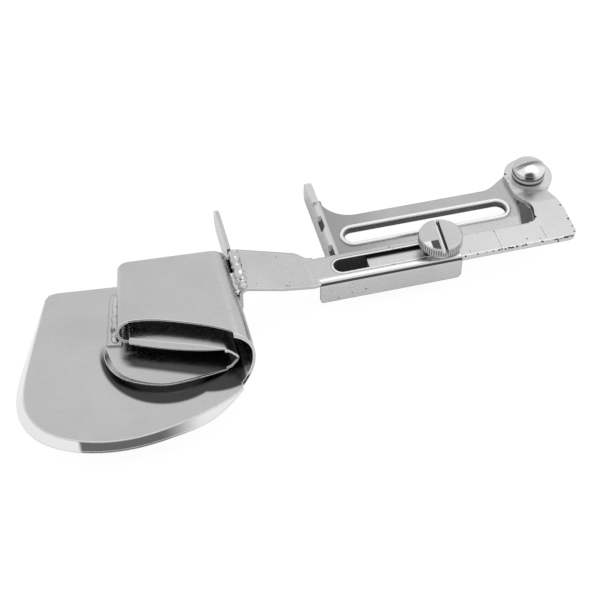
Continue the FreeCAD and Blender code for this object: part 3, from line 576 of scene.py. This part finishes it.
def clamp_painted_light(s):
    """Painted highlights on the head's front and the slot's floor, a darker ring at the rim, and
    painted shade on the slot's wall and in a patch left of the slot.
    """
    slot_turn, slot_half, wall_left = -0.07, (0.6, 0.7), (0.1, 0.25)
    slot_floor, slot_top = (-1.2, -1.1), (-0.3, -0.2)
    head_top, patch_back, corner_right = (-0.12, -0.05), (-1.7, -1.3), (-0.9, -0.8)
    patch_left, patch_right = (-2.9, -2.7), (-1.0, -0.85)
    rim_outer, rim_inner, rim_top = (5.04, 0.02), (4.97, 0.05), (-0.5, -0.4)
    mid = (CLAMP_LOW + CLAMP_HIGH) / 2
    high = CLAMP_HIGH.z
    across = s.maths("ADD", s.maths("SUBTRACT", s.x, mid.x),
                     s.maths("MULTIPLY", s.maths("SUBTRACT", s.y, mid.y), slot_turn))
    # Painted highlight on the head's front
    front = s.times(s.fall(s.y, patch_back, mid.y), s.rise(s.z, head_top, high))
    s.lay(s.times(front, s.fall(across, corner_right)), 0.9, PAINTED_HIGHLIGHT)
    centre = mid / MM
    # A darker ring round the rim's top
    middle = s.circle(centre, *rim_inner)
    rim = s.times(s.circle(centre, *rim_outer), s.maths("SUBTRACT", 1.0, middle))
    s.lay(s.times(rim, s.fall(s.z, rim_top, high)), 0.8, grey(0.12))
    # Painted highlight on the slot's floor
    inside = s.times(s.rise(s.z, slot_floor, high), s.fall(s.z, slot_top, high),
                     s.fall(s.maths("ABSOLUTE", across), slot_half))
    s.lay(inside, 0.8, PAINTED_HIGHLIGHT)
    # Painted shade in a patch left of the slot and on the slot's wall
    patch = s.times(s.rise(across, patch_left), s.fall(across, patch_right), front)
    s.lay(s.most(patch, s.times(inside, s.rise(across, wall_left))), 0.93, grey(0.03))


# Geometry

def node_tree(name, inputs):
    """A new geometry tree with its inputs."""
    tree = bpy.data.node_groups.new(name, "GeometryNodeTree")
    tree.interface.new_socket("Geometry", in_out="INPUT", socket_type="NodeSocketGeometry")
    for title, kind, value in inputs:
        socket = tree.interface.new_socket(title, in_out="INPUT", socket_type=kind)
        if value is not None:
            socket.default_value = value
    tree.interface.new_socket("Geometry", in_out="OUTPUT", socket_type="NodeSocketGeometry")
    return tree, tree.nodes.new("NodeGroupInput").outputs, tree.nodes.new("NodeGroupOutput")


def grown(name, seed_mesh, tree, **values):
    """Runs a geometry tree on a mesh and returns the result as a plain object."""
    host = bpy.data.objects.new(name + "_host", seed_mesh)
    bpy.context.scene.collection.objects.link(host)
    modifier = host.modifiers.new("grow", "NODES")
    modifier.node_group = tree
    for item in tree.interface.items_tree:
        if item.in_out == "INPUT" and item.name.replace(" ", "_") in values:
            modifier[item.identifier] = values[item.name.replace(" ", "_")]
    evaluated = host.evaluated_get(bpy.context.evaluated_depsgraph_get())
    mesh = bpy.data.meshes.new_from_object(evaluated)
    mesh.name = name
    made = bpy.data.objects.new(name, mesh)
    bpy.context.scene.collection.objects.link(made)
    bpy.data.objects.remove(host)
    return made


def knurl_tree():
    """Ridges round a rim: four-sided bars on a circle."""
    tree, given, out = node_tree("knurl_ridges", [
        ("Ridges", "NodeSocketInt", 56),
        ("Radius", "NodeSocketFloat", 5 * MM),
        ("Height", "NodeSocketFloat", 2 * MM),
        ("Thickness", "NodeSocketFloat", 0.3 * MM),
        ("Place", "NodeSocketVector", (0.0, 0.0, 0.0)),
        ("Finish", "NodeSocketMaterial", None),
    ])
    ring = add(tree, "GeometryNodeMeshCircle", Vertices=given["Ridges"], Radius=given["Radius"])
    bar = add(tree, "GeometryNodeMeshCylinder", Vertices=4, Radius=given["Thickness"],
              Depth=given["Height"])
    number = add(tree, "GeometryNodeInputIndex").outputs[0]
    turn = maths(tree, "DIVIDE", maths(tree, "MULTIPLY", number, math.tau), given["Ridges"])
    angle = add(tree, "ShaderNodeCombineXYZ", Z=turn)
    copies = add(tree, "GeometryNodeInstanceOnPoints", Points=ring.outputs["Mesh"],
                 Instance=bar.outputs["Mesh"], Rotation=angle.outputs[0])
    moved = add(tree, "GeometryNodeTransform", Geometry=copies.outputs[0],
                Translation=given["Place"])
    real = add(tree, "GeometryNodeRealizeInstances", Geometry=moved.outputs[0])
    done = add(tree, "GeometryNodeSetMaterial", Geometry=real.outputs[0], Material=given["Finish"])
    tree.links.new(done.outputs[0], out.inputs[0])
    return tree


def marks_tree():
    """A thin filled bar at every point, as long as the point's own mark length."""
    tree, given, out = node_tree("graduation_marks", [
        ("Width", "NodeSocketFloat", 0.14 * MM),
        ("Depth", "NodeSocketFloat", 0.03 * MM),
        ("Finish", "NodeSocketMaterial", None),
    ])
    length = add(tree, "GeometryNodeInputNamedAttribute", {"data_type": "FLOAT"},
                 Name="mark_length")
    size = add(tree, "ShaderNodeCombineXYZ", X=given["Width"], Y=length.outputs[0],
               Z=given["Depth"])
    bar = add(tree, "GeometryNodeMeshCube")
    dots = add(tree, "GeometryNodeMeshToPoints", Mesh=given["Geometry"])
    copies = add(tree, "GeometryNodeInstanceOnPoints", Points=dots.outputs[0],
                 Instance=bar.outputs["Mesh"], Scale=size.outputs[0])
    real = add(tree, "GeometryNodeRealizeInstances", Geometry=copies.outputs[0])
    done = add(tree, "GeometryNodeSetMaterial", Geometry=real.outputs[0], Material=given["Finish"])
    tree.links.new(done.outputs[0], out.inputs[0])
    return tree


def lumpy_copy(node, name, mat):
    """A softened, lumpy copy of a solder solid, inside the same space."""
    coarse, fine, fine_share, inward = 1100, 2600, 0.3, 0.25
    grain_size, rounds = 0.12 * MM, 4
    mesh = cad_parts[node].data.copy()
    mesh.name = name
    form = bmesh.new()
    form.from_mesh(mesh)
    bmesh.ops.remove_doubles(form, verts=form.verts, dist=1e-7)
    form.to_mesh(mesh)
    form.free()
    rough = bpy.data.objects.new(name + "_rough", mesh)
    bpy.context.scene.collection.objects.link(rough)
    remesh = rough.modifiers.new("remesh", "REMESH")
    remesh.mode = "VOXEL"
    remesh.voxel_size = grain_size
    smooth = rough.modifiers.new("smooth", "SMOOTH")
    smooth.iterations = rounds
    evaluated = rough.evaluated_get(bpy.context.evaluated_depsgraph_get())
    plain = bpy.data.meshes.new_from_object(evaluated)
    bpy.data.objects.remove(rough)
    plain.name = name
    depth = sizes().lumps
    normals = [v.normal.copy() for v in plain.vertices]
    for v, normal in zip(plain.vertices, normals):
        lump = noise.noise(v.co * coarse) * (1.0 - fine_share)
        lump += noise.noise(v.co * fine) * fine_share
        v.co += normal * (lump - inward) * depth
    plain.shade_smooth()
    plain.materials.clear()
    plain.materials.append(mat)
    piece = bpy.data.objects.new(name, plain)
    bpy.context.scene.collection.objects.link(piece)
    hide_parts(node)
    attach(piece, "scroll_carrier")


# Operators, one for each group of pieces

class BINDER_OT_scroll(bpy.types.Operator):
    """Satin plating, with painted highlights, shade and reflections, on the folded scroll, its
    tongue and the edge guide
    """
    bl_idname = "binder.scroll"
    bl_label = "Scroll"

    def execute(self, context):
        colour = finish().scroll
        paint("scroll_shell", plated_metal("scroll_satin", colour, 0.24, SATIN_STRETCH, pits=0.02,
                                           shine="Near", lines=1.0, shade=shell_painted_light))
        paint("scroll_tongue", plated_metal("tongue_satin", colour, 0.2, SATIN_STRETCH, pits=0.02,
                                            shine="Near", lines=1.0, shade=tongue_painted_reflection))
        paint("edge_guide", plated_metal("guide_satin", colour, 0.3, GUIDE_STRETCH, pits=0.12,
                                         edge=0.3 * MM, lines=0.9))
        return {"FINISHED"}


class BINDER_OT_solder(bpy.types.Operator):
    """Lumpy solder at the blade and on the edge guide"""
    bl_idname = "binder.solder"
    bl_label = "Solder"

    def execute(self, context):
        for node, name, title, pits in (("weld_bead", "weld_lumps", "rough_solder", 0.5),
                                        ("guide_solder", "guide_lumps", "guide_solder", 0.7)):
            mat = plated_metal(title, finish().solder, 0.2, amount=0.35, pits=pits, lines=0.0)
            lumpy_copy(node, name, mat)
        return {"FINISHED"}


class BINDER_OT_arm(bpy.types.Operator):
    """Plating with painted highlights and shade on the folded sliding arm"""
    bl_idname = "binder.arm"
    bl_label = "Sliding arm"

    def execute(self, context):
        paint("slide_arm", plated_metal("arm_plating", finish().arm, 0.26, BRUSHED_STRETCH,
                                        pits=0.38, edge=0.3 * MM, shade=arm_painted_light))
        return {"FINISHED"}


class BINDER_OT_plate(bpy.types.Operator):
    """Plating with painted edge light and shade, chipped edge and graduations of the swinging plate
    """
    bl_idname = "binder.plate"
    bl_label = "Graduated plate"

    def execute(self, context):
        paint("scale_plate", plated_metal("plate_plating", finish().plate, 0.3, PLATE_STRETCH,
                                          pits=0.22, shade=plate_chips_and_painted_shade))
        ink = plated_metal("mark_fill", grey(0.3), 0.6, lines=0.0)
        seed = bpy.data.meshes.new("mark_points")
        middles = [Vector((x * MM, (front + back) / 2 * MM, PLATE_HIGH.z))
                   for x, front, back in MARKS]
        seed.from_pydata(middles, [], [])
        lengths = seed.attributes.new("mark_length", "FLOAT", "POINT")
        lengths.data.foreach_set("value", [(back - front) * MM for _, front, back in MARKS])
        marks = grown("graduations", seed, marks_tree(), Width=sizes().mark_width,
                      Depth=MARK_DEPTH, Finish=ink)
        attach(marks, "swing_plate")
        return {"FINISHED"}


class BINDER_OT_clamp(bpy.types.Operator):
    """Polished clamp screw with painted highlights and shade, and its straight knurl"""
    bl_idname = "binder.clamp"
    bl_label = "Clamp screw"

    def execute(self, context):
        mat = plated_metal("clamp_polish", finish().screw, 0.16, pits=0.02, shade=clamp_painted_light)
        paint("clamp_screw", mat)
        height, sunk, below_top = 2.1 * MM, 0.05 * MM, 1.35 * MM
        radius = (CLAMP_HIGH.x - CLAMP_LOW.x) / 2
        centre = (CLAMP_LOW + CLAMP_HIGH) / 2
        seed = bpy.data.meshes.new("knurl_seed")
        seed.from_pydata([(0, 0, 0)], [], [])
        knurl = grown("clamp_knurl", seed, knurl_tree(), Ridges=sizes().ridges,
                      Radius=radius - sunk, Height=height, Thickness=sizes().ridge_depth + sunk,
                      Place=(centre.x, centre.y, CLAMP_HIGH.z - below_top), Finish=mat)
        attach(knurl, "clamp")
        return {"FINISHED"}


class BINDER_OT_bracket(bpy.types.Operator):
    """Worn plating with painted highlights and shade on the bracket and its hinge screw"""
    bl_idname = "binder.bracket"
    bl_label = "Bracket and hinge"

    def execute(self, context):
        paint("mounting_bracket", plated_metal("bracket_plating", finish().bracket, 0.27,
                                               BRUSHED_STRETCH, pits=0.08, shade=bracket_painted_light))
        paint("hinge_screw", plated_metal("hinge_polish", finish().screw, 0.18, pits=0.03,
                                          shade=hinge_painted_light))
        return {"FINISHED"}


def make_world():
    """Even white surround, pure white to the camera."""
    world = bpy.data.worlds.new("studio")
    bpy.context.scene.world = world
    world.use_nodes = True
    tree = world.node_tree
    tree.nodes.clear()
    room = add(tree, "ShaderNodeBackground", Color=grey(1.0),
               Strength=bpy.context.scene.binder_stage.sky)
    white = add(tree, "ShaderNodeBackground", Color=grey(1.0), Strength=1.0)
    path = add(tree, "ShaderNodeLightPath")
    mix = tree.nodes.new("ShaderNodeMixShader")
    put(tree, mix, 0, path.outputs["Is Camera Ray"])
    put(tree, mix, 1, room.outputs[0])
    put(tree, mix, 2, white.outputs[0])
    out = tree.nodes.new("ShaderNodeOutputWorld")
    tree.links.new(mix.outputs[0], out.inputs[0])


def make_floor():
    """Pale floor that fades into the white background."""
    mesh = bpy.data.meshes.new("floor")
    form = bmesh.new()
    bmesh.ops.create_grid(form, x_segments=1, y_segments=1, size=3.0)
    form.to_mesh(mesh)
    form.free()
    floor = bpy.data.objects.new("floor", mesh)
    bpy.context.scene.collection.objects.link(floor)
    mat = bpy.data.materials.new("floor_white")
    mat.use_nodes = True
    tree = mat.node_tree
    board = tree.nodes["Principled BSDF"]
    board.inputs["Base Color"].default_value = grey(0.95)
    board.inputs["Roughness"].default_value = 0.9
    board.inputs["Specular IOR Level"].default_value = 0.0
    glow = add(tree, "ShaderNodeEmission", Color=grey(1.0), Strength=FLOOR_GLOW)
    path = add(tree, "ShaderNodeLightPath")
    seen = maths(tree, "MULTIPLY", path.outputs["Is Camera Ray"], FLOOR_SEEN)
    mirrored = maths(tree, "MULTIPLY", path.outputs["Is Glossy Ray"], FLOOR_MIRRORED)
    mix = tree.nodes.new("ShaderNodeMixShader")
    put(tree, mix, 0, maths(tree, "MAXIMUM", seen, mirrored))
    put(tree, mix, 1, board.outputs[0])
    put(tree, mix, 2, glow.outputs[0])
    tree.links.new(mix.outputs[0], tree.nodes["Material Output"].inputs["Surface"])
    mesh.materials.append(mat)


def make_lamp(name, place, aim, size, power):
    """A square lamp that points at a place."""
    lamp = bpy.data.lights.new(name, "AREA")
    lamp.shape = "SQUARE"
    lamp.size = size
    lamp.energy = power
    made = bpy.data.objects.new(name, lamp)
    made.location = place
    made.rotation_euler = (Vector(aim) - Vector(place)).to_track_quat("-Z", "Y").to_euler()
    bpy.context.scene.collection.objects.link(made)


def make_camera():
    """The photo's camera, from the angles, distance and lens set in the panel."""
    stage = bpy.context.scene.binder_stage
    a, e = stage.azimuth, stage.elevation
    back = Vector((math.sin(a) * math.cos(e), -math.cos(a) * math.cos(e), math.sin(e)))
    lens = bpy.data.cameras.new("camera")
    lens.lens = stage.lens
    lens.sensor_width = 36.0
    lens.clip_start = 0.01
    camera = bpy.data.objects.new("camera", lens)
    camera.location = CAMERA_AIM + back * stage.distance
    camera.rotation_euler = (-back).to_track_quat("-Z", "Y").to_euler()
    bpy.context.scene.collection.objects.link(camera)
    bpy.context.scene.camera = camera


class BINDER_OT_stage(bpy.types.Operator):
    """White floor and surround, one soft lamp, and the camera"""
    bl_idname = "binder.stage"
    bl_label = "Stage"

    def execute(self, context):
        make_world()
        make_floor()
        make_lamp("key_lamp", place=(0.25, 0.15, 0.6), aim=(0.0, 0.0, 0.0), size=0.4,
                  power=context.scene.binder_stage.key)
        make_camera()
        context.scene.view_settings.view_transform = "Standard"
        return {"FINISHED"}


OPERATORS = (BINDER_OT_bracket, BINDER_OT_plate, BINDER_OT_clamp, BINDER_OT_arm, BINDER_OT_scroll,
             BINDER_OT_solder, BINDER_OT_stage)
GROUPS = (("binder_finish", BinderFinish), ("binder_sizes", BinderSizes),
          ("binder_stage", BinderStage))


class BINDER_PT_panel(bpy.types.Panel):
    """Lists the pieces in build order"""
    bl_idname = "BINDER_PT_panel"
    bl_label = "Bias Binder"
    bl_space_type = "VIEW_3D"
    bl_region_type = "UI"
    bl_category = "Bias Binder"

    def draw(self, context):
        for operator in OPERATORS:
            self.layout.operator(operator.bl_idname)
        for name, group in GROUPS:
            held = getattr(context.scene, name)
            for key in group.__annotations__:
                self.layout.prop(held, key)


def register():
    for kind in [group for _, group in GROUPS] + list(OPERATORS) + [BINDER_PT_panel]:
        bpy.utils.register_class(kind)
    for name, group in GROUPS:
        setattr(bpy.types.Scene, name, bpy.props.PointerProperty(type=group))


def unregister():
    for name, _ in GROUPS:
        delattr(bpy.types.Scene, name)
    for kind in [BINDER_PT_panel] + list(reversed(OPERATORS)) + [group for _, group in GROUPS]:
        bpy.utils.unregister_class(kind)


def main():
    """Builds everything in order."""
    register()
    for operator in OPERATORS:
        area, name = operator.bl_idname.split(".")
        getattr(getattr(bpy.ops, area), name)()


if __name__ == "__main__":
    main()
